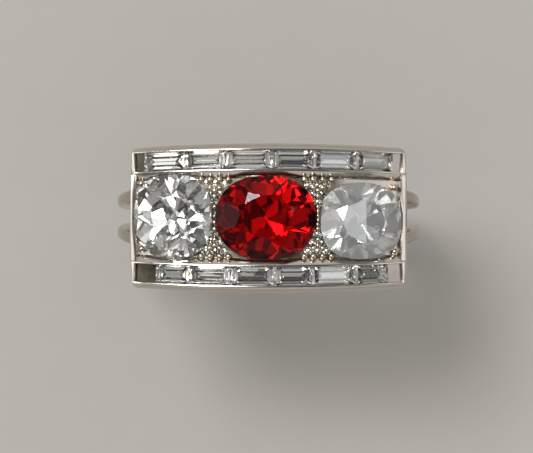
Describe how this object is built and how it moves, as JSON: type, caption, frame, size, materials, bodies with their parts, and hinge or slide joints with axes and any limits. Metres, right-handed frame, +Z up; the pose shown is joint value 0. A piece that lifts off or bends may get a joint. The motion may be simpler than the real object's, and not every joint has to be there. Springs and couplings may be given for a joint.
{
  "type": "cocktail ring",
  "caption": "Finger ring with a long arched head: a cushion ruby between cushion diamonds, bordered by channel-set baguettes, on a split double-wire shank.",
  "frame": {"origin": "centre of the finger hole", "axes": "+Z up through the head's middle, +Y along the finger, +X along the head's long side"},
  "size_m": [0.02, 0.0094, 0.0241],
  "materials": {
    "platinum": "polished",
    "ruby": "polished",
    "diamond": "polished"
  },
  "bodies": {
    "root": {"back_baguette_1": "diamond", "back_baguette_2": "diamond", "back_baguette_3": "diamond", "back_baguette_4": "diamond", "back_baguette_5": "diamond", "back_baguette_6": "diamond", "back_channel_rail": "platinum", "back_gallery_bar": "platinum", "back_gallery_panel": "platinum", "back_left_accent_stones": "diamond", "back_left_end_block": "platinum", "back_left_grains": "platinum", "back_right_accent_stones": "diamond", "back_right_end_block": "platinum", "back_right_grains": "platinum", "centre_collet": "platinum", "centre_ruby": "ruby", "corner_prongs": "platinum", "front_baguette_1": "diamond", "front_baguette_2": "diamond", "front_baguette_3": "diamond", "front_baguette_4": "diamond", "front_baguette_5": "diamond", "front_baguette_6": "diamond", "front_channel_rail": "platinum", "front_gallery_bar": "platinum", "front_gallery_panel": "platinum", "front_left_accent_stones": "diamond", "front_left_end_block": "platinum", "front_left_grains": "platinum", "front_right_accent_stones": "diamond", "front_right_end_block": "platinum", "front_right_grains": "platinum", "left_back_shank_wire": "platinum", "left_collet": "platinum", "left_diamond": "diamond", "left_end_wall": "platinum", "left_front_shank_wire": "platinum", "left_gallery_end": "platinum", "left_gap_grains": "platinum", "left_shoulder_bridge": "platinum", "right_back_shank_wire": "platinum", "right_collet": "platinum", "right_diamond": "diamond", "right_end_wall": "platinum", "right_front_shank_wire": "platinum", "right_gallery_end": "platinum", "right_gap_grains": "platinum", "right_shoulder_bridge": "platinum", "setting_plate": "platinum", "shank_base": "platinum"}
  },
  "joints": []
}
